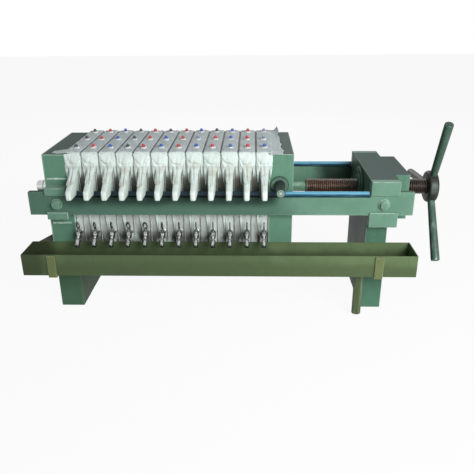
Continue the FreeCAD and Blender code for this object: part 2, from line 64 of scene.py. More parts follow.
# ---------------------------------------------------------------- studio
# A pale seamless floor that meets a white room, with one large soft lamp to the
# right of the viewer, a weak one to the left, and one behind the press.
class Shade:
    """One shader output. Arithmetic on it adds Math nodes, and node() adds any other node."""

    def __init__(self, tree, socket=None, material=None, end=None):
        self.tree, self.socket, self.material, self.end = tree, socket, material, end

    def node(self, kind, settings=None, inputs=None, output=0):
        made = self.tree.nodes.new(kind)
        for key, value in (settings or {}).items():
            setattr(made, key, value)
        for key, value in (inputs or {}).items():
            if isinstance(value, Shade):
                self.tree.links.new(value.socket, made.inputs[key])
            else:
                made.inputs[key].default_value = value
        return Shade(self.tree, made.outputs[output])

    def math(self, operation, first, second=0.0, clamp=False):
        settings = {"operation": operation, "use_clamp": clamp}
        return self.node("ShaderNodeMath", settings, {0: first, 1: second})

    def __add__(self, other):
        return self.math("ADD", self, other)

    def __radd__(self, other):
        return self.math("ADD", other, self)

    def __sub__(self, other):
        return self.math("SUBTRACT", self, other)

    def __rsub__(self, other):
        return self.math("SUBTRACT", other, self)

    def __mul__(self, other):
        return self.math("MULTIPLY", self, other)

    def __rmul__(self, other):
        return self.math("MULTIPLY", other, self)

    def __pow__(self, other):
        return self.math("POWER", self, other)

    def split(self):
        """The x, y and z of a vector."""
        parts = self.tree.nodes.new("ShaderNodeSeparateXYZ")
        self.tree.links.new(self.socket, parts.inputs[0])
        return [Shade(self.tree, socket) for socket in parts.outputs]

    def place(self):
        return self.node("ShaderNodeTexCoord", output=3)

    def facing(self):
        return self.node("ShaderNodeNewGeometry", output=3)

    def noise(self, place, scale, detail, roughness=0.5):
        sizes = {"Vector": place, "Scale": scale, "Detail": detail, "Roughness": roughness}
        return self.node("ShaderNodeTexNoise", None, sizes)

    def bump(self, height, strength, distance, under=None):
        inputs = {"Height": height, "Strength": strength, "Distance": distance}
        return self.node("ShaderNodeBump", None, inputs | ({"Normal": under} if under else {}))

    def surface(self, inputs):
        """Ends the material in a Principled skin with these inputs, and returns it."""
        skin = self.node("ShaderNodeBsdfPrincipled", None, inputs)
        self.tree.links.new(skin.socket, self.end.inputs["Surface"])
        return self.material

    def clamp(self):
        return self.math("ADD", self, 0.0, clamp=True)

    def step(self, low, high):
        """0 below low and 1 above high, with a smooth rise between them."""
        ends = {"Value": self, "From Min": low, "From Max": high, "To Min": 0.0, "To Max": 1.0}
        return self.node("ShaderNodeMapRange", {"interpolation_type": "SMOOTHSTEP"}, ends)

    def tint(self, low, high):
        """The colour low where this value is 0 and high where it is 1."""
        colours = [c if isinstance(c, Shade) else (*c, 1.0) for c in (low, high)]
        inputs = {0: self, 6: colours[0], 7: colours[1]}
        return self.node("ShaderNodeMix", {"data_type": "RGBA"}, inputs, output=2)


def blank(name):
    """The Shade of an empty material, which knows the material and its output node."""
    material = bpy.data.materials.new(name)
    material.use_nodes = True
    material.node_tree.nodes.clear()
    end = material.node_tree.nodes.new("ShaderNodeOutputMaterial")
    return Shade(material.node_tree, None, material, end)


def grid_object(name, points, around=False, along=False, ends=False):
    """A mesh from a grid of points, rows by columns. around closes the columns into a ring,
    along closes the rows, and ends fans the first and last ring shut."""
    rows, columns = points.shape[:2]
    index = np.arange(rows * columns).reshape(rows, columns)
    if around:
        index = np.concatenate([index, index[:, :1]], axis=1)
    if along:
        index = np.concatenate([index, index[:1]], axis=0)
    quads = np.stack([index[:-1, :-1], index[:-1, 1:], index[1:, 1:], index[1:, :-1]], axis=-1)
    faces = quads.reshape(-1, 4).tolist()
    vertices = points.reshape(-1, 3)
    if ends:
        ring = np.arange(columns)
        for row, order in ((0, 1), (rows - 1, -1)):
            middle = len(vertices)
            vertices = np.vstack([vertices, points[row].mean(axis=0)])
            loop = (row * columns + ring)[::order]
            nxt = np.roll(loop, -1)
            faces += np.stack([np.full(columns, middle), nxt, loop], axis=-1).tolist()
    mesh = bpy.data.meshes.new(name)
    mesh.from_pydata(vertices.tolist(), [], faces)
    mesh.update()
    made = bpy.data.objects.new(name, mesh)
    bpy.context.scene.collection.objects.link(made)
    return made


def floor_points(reach, count):
    """A level square sheet at floor height."""
    line = np.linspace(-reach, reach, count)
    x, y = np.meshgrid(line, line, indexing="ij")
    return np.stack([x + 0.9, y, np.zeros_like(x)], axis=-1)


floor = grid_object("floor", floor_points(14.0, 3))
tree = blank("pale_floor")
matt = tree.node("ShaderNodeBsdfDiffuse", None, {"Color": (0.72, 0.72, 0.72, 1.0)})
white = tree.node("ShaderNodeEmission", None, {"Color": (1.0, 1.0, 1.0, 1.0), "Strength": 1.0})
path = tree.tree.nodes.new("ShaderNodeLightPath")
seen = Shade(tree.tree, path.outputs["Is Camera Ray"]) + Shade(tree.tree, path.outputs["Is Glossy Ray"])
mixed = tree.node("ShaderNodeMixShader", None, {0: (seen * 0.93).clamp(), 1: matt, 2: white})
tree.tree.links.new(mixed.socket, tree.end.inputs["Surface"])
floor.data.materials.append(tree.material)

world = bpy.data.worlds.new("room")
world.use_nodes = True
bpy.context.scene.world = world
room = world.node_tree
background = room.nodes["Background"]
path = room.nodes.new("ShaderNodeLightPath")
level = Shade(room, path.outputs["Is Camera Ray"]) + Shade(room, path.outputs["Is Glossy Ray"])
level = level + Shade(room, path.outputs["Is Transmission Ray"])
room.links.new((0.14 + level.clamp() * 0.86).socket, background.inputs["Strength"])
background.inputs["Color"].default_value = (1.0, 1.0, 1.0, 1.0)


def soft_lamp(name, place, aim, size, power):
    """A square area lamp that faces a point."""
    lamp = bpy.data.objects.new(name, bpy.data.lights.new(name, "AREA"))
    lamp.data.size, lamp.data.energy = size, power
    way = np.array(aim) - np.array(place)
    level_way = math.hypot(way[0], way[1])
    turn = math.atan2(way[1], way[0]) - math.pi / 2
    lamp.matrix_world = (
        Matrix.Translation(place)
        @ Matrix.Rotation(turn, 4, "Z")
        @ Matrix.Rotation(math.pi / 2 + math.atan2(way[2], level_way), 4, "X")
    )
    bpy.context.scene.collection.objects.link(lamp)


soft_lamp("front_lamp", (2.7, -3.2, 2.1), (0.9, 0.0, 0.5), 2.0, 165.0)
soft_lamp("left_lamp", (-2.6, -3.6, 1.6), (0.5, 0.0, 0.5), 1.6, 14.0)
soft_lamp("back_lamp", (0.8, 4.4, 2.6), (0.8, 0.0, 0.6), 2.4, 50.0)
bpy.context.scene.view_settings.view_transform = "Standard"


# ---------------------------------------------------------------- painted frame
# Heads, legs, crosshead and rails: thick steel plate, welded, filled and brushed
# with satin grey-green machine paint; dust and painted shade darken its tops, and painted shade its faces
# that look along the press.
green = (0.125, 0.262, 0.183)
green_deep = (0.050, 0.118, 0.080)
green_pale = (0.300, 0.440, 0.345)


def painted_steel(
    name, colour, deep, pale, top, seed, streaks=1.0, box=None, rim=0.75, sides=0.0, stains_and_shades=()
):
    """Brushed paint over steel: slow colour change, streaks that run down, dust and painted shade
    that darken level tops, painted shade on the faces that look along the press (sides), and
    chipped pale edges. A point is near an edge of the box when the middle one of its three
    distances to the nearest faces is small. Each stain and each patch of painted shade is a soft box: low
    corner, high corner, softness, depth, colour."""
    tree = blank(name)
    moved = {0: tree.place(), 1: (seed, seed * 0.7, seed * 0.3)}
    place = tree.node("ShaderNodeVectorMath", {"operation": "ADD"}, moved)
    clouds = tree.noise(place, 6.0, 5.0, 0.6)
    runs = tree.node("ShaderNodeMapping", None, {"Vector": place, "Scale": (1.0, 1.0, 0.12)})
    runs = tree.noise(runs, 38.0, 4.0, 0.65)
    grit = tree.noise(place, 170.0, 3.0, 0.7)
    parts = tree.facing().split()
    flat = [tree.math("ABSOLUTE", way) for way in parts]
    widest = tree.math("MAXIMUM", tree.math("MAXIMUM", flat[0], flat[1]), flat[2])
    edge = 1.0 - widest.step(0.90, 0.97)
    upper = parts[2].step(0.75, 0.97)
    base = (clouds.step(0.30, 0.72)).tint(deep, colour)
    base = (0.42 * (clouds - 0.5) + 0.74).clamp().tint(base, colour)
    base = (runs.step(0.56, 0.80) * 0.30 * streaks).tint(base, deep)
    base = (grit.step(0.62, 0.74) * 0.25).tint(base, pale)
    # level tops: dust, with painted shade that darkens them
    dust_and_top_shade = (0.55 + 0.9 * (clouds - 0.5)).clamp().tint(top, tuple(1.35 * c for c in top))
    base = (upper * 0.86).tint(base, dust_and_top_shade)
    base = (edge * (0.25 + 0.75 * runs.step(0.36, 0.56))).tint(base, pale)
    # painted shade on the faces that look along the press, by how far they face along x
    if sides:
        dark = tuple(0.30 * c for c in deep)
        base = (flat[0].step(0.7, 0.95) * sides * (0.75 + 0.5 * clouds)).clamp().tint(base, dark)
    spot = tree.place().split()
    if box is not None:
        far = [
            tree.math("MINIMUM", value - float(low), float(high) - value)
            for value, low, high in zip(spot, *box)
        ]
        least = tree.math("MINIMUM", tree.math("MINIMUM", far[0], far[1]), far[2])
        most = tree.math("MAXIMUM", tree.math("MAXIMUM", far[0], far[1]), far[2])
        middle = far[0] + far[1] + far[2] - least - most
        worn = 1.0 - (middle + 0.006 * (runs - 0.5) + 0.004 * (grit - 0.5)).step(0.0022, 0.0060)
        base = (worn * rim).tint(base, pale)
    for low, high, soft, depth, stain_and_shade in stains_and_shades:
        cover = depth
        for value, first, last in zip(spot, low, high):
            value = value + 1.2 * soft * (clouds - 0.5)
            if first is not None:
                cover = cover * value.step(first - soft, first)
            if last is not None:
                cover = cover * (1.0 - value.step(last, last + soft))
        base = cover.tint(base, stain_and_shade)
    rough = (0.5 + 0.20 * (clouds - 0.5) + 0.18 * upper + 0.08 * (grit - 0.5)).clamp()
    bump = tree.bump(0.7 * runs + 0.5 * grit, 0.22, 0.0012)
    return tree.surface({"Base Color": base, "Roughness": rough, "Normal": bump, "Specular IOR Level": 0.10})


def dress(names, material):
    """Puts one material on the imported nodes, whose meshes stay as they are."""
    for name in names:
        mesh = nodes[name].data
        mesh.materials.clear()
        mesh.materials.append(material)


# the colour of level tops: dust and painted shade
dust_and_shade_on_top = (0.066, 0.088, 0.086)
for name, seed, rim, sides in (
    ("fixed_head", 0.0, 0.9, 0.3),
    ("moving_head", 2.2, 0.35, 0.3),
    ("crosshead", 4.4, 0.15, 0.75),
):
    tones = green, green_deep, green_pale, dust_and_shade_on_top
    paint = painted_steel(name + "_paint", *tones, seed, box=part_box(name), rim=rim, sides=sides)
    dress([name], paint)
dress(["thrust_collar"], painted_steel("collar_paint", green, green_deep, green_pale, green, 7.0))
tones = (0.080, 0.150, 0.115), green_deep, green, green_deep
dress(["screw_nut"], painted_steel("nut_paint", *tones, 3.0, sides=0.8))
low_olive = ((None, None, None), (None, None, 0.47), 0.12, 0.55, (0.060, 0.105, 0.055))
for name, seed, stains_and_shades in (("fixed_head_leg", 1.7, [low_olive]), ("crosshead_leg", 3.9, [])):
    tones = (0.088, 0.200, 0.135), (0.028, 0.070, 0.046), green_pale, green_deep
    dress([name], painted_steel(name + "_paint", *tones, seed, sides=0.9, stains_and_shades=stains_and_shades))
for name, seed, grease_and_shade in (("front_rail", 4.1, 0.0), ("rear_rail", 5.6, 0.85)):
    low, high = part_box(name)
    # The first soft box is painted shade over the rail left of x 0.98, the second a darker band along its
    # top under the pack, and the third grease with the painted shadow of the crosshead at the rear rail's
    # right end.
    shaded = ((None, None, None), (0.98, None, None), 0.16, 0.55, (0.040, 0.085, 0.064))
    dark_under_pack = ((0.07, None, high[2] - 0.036), (0.98, None, None), 0.05, 0.80, (0.014, 0.030, 0.025))
    greased_and_shaded = ((1.30, None, None), (None, None, None), 0.10, grease_and_shade, (0.008, 0.014, 0.010))
    tones = (0.140, 0.272, 0.200), green_deep, green_pale, (0.08, 0.14, 0.11)
    stains_and_shades = [shaded, dark_under_pack, greased_and_shaded]
    dress([name], painted_steel(name + "_paint", *tones, seed, box=(low, high), rim=0.25, stains_and_shades=stains_and_shades))
# paler than the heads' paint, with a pale top: partly painted light on keepers that stand out from the heads
tones = (0.145, 0.280, 0.205), (0.06, 0.13, 0.09), (0.40, 0.54, 0.45), (0.24, 0.35, 0.29)
keeper_paint = painted_steel("keeper_paint", *tones, 6.3, streaks=1.6)
dress(["upper_rail_keepers", "lower_rail_keepers"], keeper_paint)


# ---------------------------------------------------------------- slide bars
# Round drawn bars let into the tops of the rails, blued and kept greased so that
# handles and rollers slide; their flanks carry painted shade, and under the pack they are dark with grease
# and painted shadow.
def blued_bar():
    """Blue gloss, paler where it is rubbed, with painted shade on its flanks, and dark with grease and
    painted shadow under the pack.
    """
    tree = blank("blued_bar")
    place = tree.place()
    along = tree.node("ShaderNodeMapping", None, {"Vector": place, "Scale": (3.0, 60.0, 60.0)})
    rubbed = tree.noise(along, 4.0, 4.0)
    up = tree.facing().split()[2]
    spot = place.split()
    # past x 0.98 the bar is clear of the pack; under the pack it is dark with grease and painted shadow
    beyond_pack = (spot[0] + 0.06 * (rubbed - 0.5)).step(0.98, 1.08)
    # painted shade: the flanks darker than the top
    base = up.step(0.10, 0.65).tint((0.006, 0.060, 0.110), (0.115, 0.390, 0.560))
    base = (rubbed.step(0.50, 0.72) * 0.45).tint(base, (0.19, 0.49, 0.62))
    dark_under_pack = up.step(0.55, 0.95).tint((0.004, 0.016, 0.024), (0.008, 0.060, 0.100))
    base = beyond_pack.tint(dark_under_pack, base)
    return tree.surface({"Base Color": base, "Roughness": 0.30 + 0.25 * rubbed, "Specular IOR Level": 0.35})


dress(["front_slide_bar", "rear_slide_bar"], blued_bar())


# ---------------------------------------------------------------- collecting tray
# A trough folded and welded from sheet, with its drain pipe and bracket bars, in
# olive paint with streaks that run down, painted shade towards its left, and darker patches inside.
olive = (0.122, 0.178, 0.085)
tray_low, tray_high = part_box("collecting_tray")
inner_wall = tray_low[1] + 0.012
tones = olive, (0.060, 0.098, 0.046), (0.27, 0.33, 0.19), (0.105, 0.16, 0.085)
stains_and_shades = [
    # The first soft box is painted shade, the tray darker left of x 0.70; the others darken the inside past
    # its left end, low down, and along the top under the pack.
    ((None, None, None), (0.70, None, None), 0.60, 0.30, (0.060, 0.098, 0.046)),
    ((None, inner_wall, None), (-0.09, None, None), 0.06, 0.80, (0.030, 0.034, 0.018)),
    ((None, inner_wall, None), (None, None, 0.285), 0.05, 0.55, (0.045, 0.062, 0.028)),
    ((0.06, inner_wall, 0.318), (0.97, None, None), 0.03, 0.30, (0.035, 0.045, 0.025)),
]
tray_paint = painted_steel("tray_paint", *tones, 8.2, streaks=1.6, stains_and_shades=stains_and_shades)
dress(["collecting_tray", "tray_drain_pipe"], tray_paint)
tones = (0.150, 0.185, 0.082), (0.08, 0.10, 0.045), (0.30, 0.34, 0.2), olive
dress(["tray_brackets"], painted_steel("bracket_paint", *tones, 9.4))
tones = (0.060, 0.062, 0.045), (0.03, 0.03, 0.022), olive, (0.075, 0.07, 0.055)
dress(["tray_gusset"], painted_steel("gusset_paint", *tones, 2.4))


# ---------------------------------------------------------------- plates and frames
# Moulded white plastic plates with carrying lugs, and hollow frames between them.
# Juice and rinsing water leave grey and beige stains, more so towards the tray.
def stained_plastic(name, colour, stain_and_shade, strength, edge=True):
    """White plastic: faint mottling, stains that thicken downwards, a brown painted shadow under the lugs,
    black round the cocks, painted shade on level tops (these three with edge), and a scuffed gloss."""
    tree = blank(name)
    place = tree.place()
    height = place.split()[2]
    low = 1.0 - height.step(0.34, 0.56)
    runs = tree.node("ShaderNodeMapping", None, {"Vector": place, "Scale": (1.0, 1.0, 0.35)})
    runs = tree.noise(runs, 24.0, 3.0)
    clouds = tree.noise(place, 11.0, 4.0)
    dirt = (runs.step(0.36, 0.70) * (0.10 + strength * low) + clouds.step(0.5, 0.8) * 0.18).clamp()
    base = dirt.tint(colour, stain_and_shade)
    if edge:
        black = (1.0 - (height + 0.05 * (clouds - 0.5)).step(0.365, 0.412)) * height.step(0.322, 0.345)
        base = (black * runs.step(0.38, 0.56) * 0.85).tint(base, (0.060, 0.064, 0.056))
        # painted shadow under the lugs, brown
        under = height.step(0.585, 0.60) * (1.0 - (height + 0.03 * (clouds - 0.5)).step(0.650, 0.705))
        base = (under * 0.92).tint(base, (0.085, 0.078, 0.060))
        # painted shade on level tops, which show in the gaps between the cloths
        facing = tree.facing().split()
        base = facing[2].step(0.6, 0.9).tint(base, (0.05, 0.055, 0.05))
    bump = tree.bump(runs, 0.12, 0.001)
    rough = 0.55 + 0.2 * clouds
    return tree.surface({"Base Color": base, "Roughness": rough, "Normal": bump, "Specular IOR Level": 0.25})


# Plates and frames are greyer than the lugs of the same plastic: partly painted shade, for they lie back
# between the lugs.
plate_plastic = stained_plastic("plate_plastic", (0.58, 0.64, 0.61), (0.27, 0.27, 0.25), 0.60)
lug_plastic = stained_plastic("lug_plastic", (0.70, 0.79, 0.75), (0.46, 0.46, 0.36), 0.25, edge=False)
frame_plastic = stained_plastic("frame_plastic", (0.50, 0.55, 0.53), (0.22, 0.22, 0.20), 0.70)
dress(["filter_plates"], plate_plastic)
dress(["filter_frames"], frame_plastic)
plate_places = [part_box("cock_key_%02d" % (n + 1)) for n in range(12)]
plate_places = [(low[0] + high[0]) / 2 for low, high in plate_places]
plate_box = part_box("filter_frames")
plate_edge, plate_top, plate_bottom = plate_box[1][1], plate_box[1][2], plate_box[0][2]
bar_low, bar_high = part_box("front_slide_bar")
bar_y, bar_z, bar_seat = 0.2625, bar_low[2] * 0.5 + bar_high[2] * 0.5, 0.0128
lug_root, lug_tip, lug_nose = 0.2275, 0.3585, 0.010
lug_reach, lug_fall = 0.126, 0.068


def finish_piece(piece, material, body):
    """Gives a piece its material, its shading and the body that it rides on."""
    piece.data.materials.clear()
    piece.data.materials.append(material)
    piece.data.polygons.foreach_set("use_smooth", np.ones(len(piece.data.polygons), dtype=bool))
    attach(piece, body)


def crisp(piece, degrees):
    """Keeps edges sharper than an angle crisp."""
    piece.modifiers.new("edges", "EDGE_SPLIT").split_angle = math.radians(degrees)


def read(items, field, width=1, kind=float):
    """One field of every item of a mesh, in rows of the given width."""
    values = np.empty(len(items) * width, dtype=kind)
    items.foreach_get(field, values)
    return values.reshape(-1, width) if width > 1 else values


def joined(name, pieces):
    """One object from several, kept as separate shells."""
    meshes = [piece.data for piece in pieces]
    counts = np.cumsum([0] + [len(mesh.vertices) for mesh in meshes])
    vertices, faces = [], []
    for mesh, start in zip(meshes, counts):
        vertices.append(read(mesh.vertices, "co", 3))
        corners = read(mesh.loops, "vertex_index", kind=np.int32)
        firsts = read(mesh.polygons, "loop_start", kind=np.int32)
        faces += [part.tolist() for part in np.split(corners + start, firsts[1:])]
    whole = bpy.data.meshes.new(name)
    whole.from_pydata(np.vstack(vertices).tolist(), [], faces)
    whole.update()
    for piece in pieces:
        bpy.data.objects.remove(piece)
    made = bpy.data.objects.new(name, whole)
    bpy.context.scene.collection.objects.link(made)
    return made


def slab_points(middle):
    """A square slab with small rounds: its outline, inset by r (1 - sin a) and moved along x by
    r (1 - cos a) over the quarter turn a at each face."""
    r = 0.0025
    a = np.linspace(0, math.pi / 2, 4)
    inset = np.concatenate([r * (1 - np.sin(a)), (r * (1 - np.sin(a)))[::-1]])
    along = np.concatenate([-0.020 + r * (1 - np.cos(a)), (0.020 - r * (1 - np.cos(a)))[::-1]])
    side = np.linspace(-1, 1, 24)[:-1]
    u = np.concatenate([side, 1 + 0 * side, -side, -1 + 0 * side])
    v = np.concatenate([-1 + 0 * side, side, 1 + 0 * side, -side])
    half_y, half_z = plate_edge - inset[:, None], (plate_top - plate_bottom) / 2 - inset[:, None]
    return np.stack(
        [middle + along[:, None] + 0 * u, half_y * u, (plate_top + plate_bottom) / 2 + half_z * v], axis=-1
    )


def lug_points(middle, sign):
    """A carrying lug: at each distance from the plate a rounded section, the superellipse of
    power 5, between the sloping top and a foot that is arched over the slide bar. It thins
    towards the tip, and its last few millimetres close in on a quarter round."""
    y = np.concatenate([np.linspace(0.2225, 0.2475, 5), np.linspace(0.2482, 0.2768, 22)])
    nose = lug_tip - lug_nose * (1 - np.sin(np.linspace(0, math.pi / 2, 8)))
    y = np.concatenate([y, np.linspace(0.280, 0.348, 12), nose])
    far = np.clip((y - lug_root) / lug_reach, 0, 1.1)
    top = 0.704 - lug_fall * far
    foot = np.interp(y, [lug_root, 0.248], [0.552, 0.593])
    arch = bar_z + np.sqrt(np.clip(bar_seat**2 - (y - bar_y) ** 2, 0, None))
    foot = np.where(np.abs(y - bar_y) < bar_seat, np.maximum(foot, arch), foot)
    half = np.interp(y, [lug_root, 0.30, lug_tip], [0.0160, 0.0142, 0.0122])
    close = np.sqrt(np.clip(1 - ((y - lug_tip + lug_nose) / lug_nose).clip(0, 1) ** 2, 0.0004, 1))
    shrink = lug_nose * (1 - close)
    tall, mid = (top - foot) / 2 - shrink, (top + foot) / 2
    wide = half - 0.7 * shrink
    angle = np.linspace(0, 2 * math.pi, 28, endpoint=False)
    c, s = np.cos(angle), np.sin(angle)
    across = np.sign(c) * np.abs(c) ** 0.4
    up = np.sign(s) * np.abs(s) ** 0.4
    return np.stack(
        [middle + wide[:, None] * across, sign * (y[:, None] + 0 * c), mid[:, None] + tall[:, None] * up],
        axis=-1,
    )


slabs, lugs = [], []
for middle in plate_places:
    slabs.append(grid_object("slab", slab_points(middle)[:, ::-1], around=True, ends=True))
    for sign in (-1, 1):
        lugs.append(grid_object("lug", lug_points(middle, sign)[:, ::sign], around=True, ends=True))
for name, pieces, skin in (("plate_slabs", slabs, plate_plastic), ("plate_lugs", lugs, lug_plastic)):
    whole = joined(name, pieces)
    finish_piece(whole, skin, "press_frame")
    crisp(whole, 50)
    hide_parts("filter_plates")


# ---------------------------------------------------------------- filter cloths
# One woven cloth over each plate: it hangs down both faces of the plate, its hemmed
# edge folds over the front and the rear, and its loose corners fall beside the lugs.
leg_x, cap_x = 0.0208, 0.0338  # half widths of the hanging and the lying parts
hem_drop, hem_roll = 0.050, 0.0042
corner_top, tail_top = 0.768, 0.575
weave_period = 0.0016


def woven_cloth():
    """Plain weave from two crossed waves in the cloth's own metric map, grey dust with painted shade
    on level parts, beige juice stains, a painted shadow under the hem, and darker dirt low down."""
    tree = blank("woven_cloth")
    place = tree.place()
    flat = tree.node("ShaderNodeUVMap", {"uv_map": "cut"})
    parts = flat.split()
    turns = 2 * math.pi / weave_period
    warp = tree.math("SINE", parts[0] * turns)
    weft = tree.math("SINE", parts[1] * turns)
    weave = warp * weft
    sides = tree.node("ShaderNodeNewGeometry", output=1).split()
    height = place.split()[2]
    level = tree.math("ABSOLUTE", sides[2]).step(0.55, 0.95)
    level = level * height.step(plate_top - 0.012, plate_top - 0.004)
    clouds = tree.noise(place, 9.0, 5.0)
    blots = tree.noise(place, 21.0, 3.0)
    fine = tree.noise(place, 140.0, 4.0)
    base = clouds.step(0.35, 0.7).tint((0.71, 0.81, 0.775), (0.63, 0.72, 0.685))
    hung = (1.0 - height.step(0.715, 0.75)) * height.step(0.60, 0.64)
    juice = (blots.step(0.46, 0.66) * (0.05 + 0.50 * hung)).clamp()
    base = juice.tint(base, (0.48, 0.46, 0.36))
    # level tops: grey dust with painted shade
    dust_and_top_shade = fine.step(0.35, 0.7) * 0.5 + clouds.step(0.4, 0.6) * 0.5
    dust_and_top_shade = dust_and_top_shade.tint((0.47, 0.555, 0.575), (0.62, 0.715, 0.735))
    base = (level * 0.9).tint(base, dust_and_top_shade)
    # painted shadow under the hem: a darker band below its edge
    hem_shadow = height.step(plate_top - 0.084, plate_top - 0.064)
    hem_shadow = (1.0 - height.step(plate_top - 0.062, plate_top - 0.056)) * hem_shadow
    base = (hem_shadow * 0.45).tint(base, (0.38, 0.43, 0.40))
    low = (1.0 - height.step(0.36, 0.46)) * blots.step(0.40, 0.62) * 0.7
    base = low.tint(base, (0.20, 0.20, 0.18))
    base = (0.05 * weave + 0.05).clamp().tint(base, (0.45, 0.46, 0.43))
    soft = tree.bump(tree.noise(place, 60.0, 3.0), 0.35, 0.0016)
    bump = tree.bump(weave, 0.3, 0.0003, soft)
    look = {"Base Color": base, "Roughness": 0.86, "Normal": bump, "Specular IOR Level": 0.2}
    return tree.surface(look | {"Sheen Weight": 0.15})


cloth_skin = woven_cloth()
cloth_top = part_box("filter_cloths")[1][2]
dice = np.random.default_rng(12)


def cloth_section():
    """Half of the cloth's line across the press: x, z and how far the point belongs to the
    cap. It rises up the plate's face, turns out over the frame, and folds back over the top."""
    rise = np.concatenate([np.linspace(plate_bottom, 0.60, 12), np.linspace(0.615, plate_top, 14)])
    out = np.linspace(leg_x, cap_x, 4)[1:]
    turn = np.linspace(0, math.pi, 6)[1:]
    radius = (cloth_top - plate_top - 0.001) / 2
    across = np.linspace(cap_x, 0, 12)[1:]
    x = np.concatenate([np.full(26, leg_x), out, cap_x + radius * np.sin(turn), across])
    z = np.concatenate(
        [rise, np.full(3, plate_top + 0.001), plate_top + 0.001 + radius * (1 - np.cos(turn))]
    )
    z = np.concatenate([z, np.full(len(across), z[-1])])
    cap = np.concatenate([np.zeros(26), [0.33, 0.67, 1.0], np.ones(len(turn) + len(across))])
    return x, z, cap


def hem_path(run, drop):
    """How far forward and down a point of the hanging edge lies, from its distance past the
    plate's edge: a tight bend, a straight fall, and a rolled hem that turns back up inside."""
    bend = 0.006
    arc = bend * math.pi / 2
    forward = np.where(run < arc, bend * np.sin(run / bend), bend)
    down = np.where(run < arc, bend * (1 - np.cos(np.minimum(run, arc) / bend)), bend + run - arc)
    forward = forward + 0.011 * np.sin(np.clip((run - arc) / (drop - arc), 0, 1) * math.pi * 0.62)
    past = np.clip(run - drop, 0, math.pi * hem_roll)
    rest = np.clip(run - drop - math.pi * hem_roll, 0, None)
    angle = past / hem_roll
    flat_down = bend + drop - arc
    forward = np.where(run > drop, forward - hem_roll * (1 - np.cos(angle)), forward)
    down = np.where(run > drop, flat_down + hem_roll * np.sin(angle) - rest, down)
    return forward, down


def wave(x, scales, seeds):
    """A slow uneven wave: three sines of different length and start."""
    return sum(np.sin(x * s + p) / (n + 1) for n, (s, p) in enumerate(zip(scales, seeds)))


def cloth_body(middle, luck):
    """The main sheet of one cloth: its section carried from the front edge to the rear. Past an
    edge a point moves out and down by hem_path and ripples by wave; the top is crowned by
    1 - u^2 and pressed in by a Gaussian dimple with a ring round it at each button."""
    x, z, cap = cloth_section()
    x = np.concatenate([-x, x[::-1][1:]])
    z = np.concatenate([z, z[::-1][1:]])
    cap = np.concatenate([cap, cap[::-1][1:]])
    side = np.linspace(-plate_edge, plate_edge, 41)
    over = np.concatenate([np.linspace(0.002, 0.056, 14), np.linspace(0.0585, 0.071, 6)])
    run = np.concatenate([over[::-1], np.zeros(41), over])
    y = np.concatenate([np.full(20, -plate_edge), side, np.full(20, plate_edge)])
    sign = np.concatenate([-np.ones(20), np.zeros(41), np.ones(20)])
    X, Y = np.meshgrid(x, y, indexing="ij")
    Z, CAP = z[:, None] + 0 * Y, cap[:, None] + 0 * Y
    RUN, SIGN = run[None, :] + 0 * X, sign[None, :] + 0 * X
    edge = np.clip(np.abs(X) / cap_x, 0, 1)
    drop = hem_drop * (1.0 - 0.30 * edge**3.5) + 0.0035 * wave(X, (60, 140, 33), luck[:3])
    forward, down = hem_path(RUN, drop)
    fin = np.minimum(RUN * 0.13, 0.0085)
    ripple = np.clip(RUN / 0.05, 0, 1) * (
        0.0018 * wave(X + 0.3 * RUN, (95, 210, 330), luck[3:6]) - 0.009 * edge**3
    )
    Y = Y + SIGN * (CAP * (forward + ripple) + (1 - CAP) * fin)
    Z = Z - CAP * down
    narrow = 1 - 0.12 * CAP * np.clip(RUN / 0.05, 0, 1) ** 1.6
    X = X * narrow
    if middle == plate_places[0]:
        X = np.where((SIGN < 0) & (X < 0), X * (1 - 0.46 * np.clip(RUN / 0.004, 0, 1)), X)
    on_top = (CAP > 0.99) & (RUN == 0)
    crown = 0.0016 * (1 - edge**2) + 0.0009 * wave(Y, (31, 57, 118), luck[6:9]) * (1 - edge**4)
    crown += 0.0007 * wave(X + 0.4 * Y, (140, 260, 90), luck[:3])
    for row in button_rows:
        far = np.hypot(X, (Y - row))
        crown -= 0.0020 * np.exp(-((far / 0.015) ** 2)) - 0.0012 * np.exp(-(((far - 0.024) / 0.007) ** 2))
    Z = np.where(on_top & (Z > plate_top + 0.002), Z + crown, Z)
    seam = np.where(CAP > 0.5, 1, 0) * np.exp(-(((RUN - 0.041) / 0.002) ** 2)) * (RUN > 0)
    Y = Y - SIGN * 0.0012 * seam
    return np.stack([X + middle, Y, Z], axis=-1)


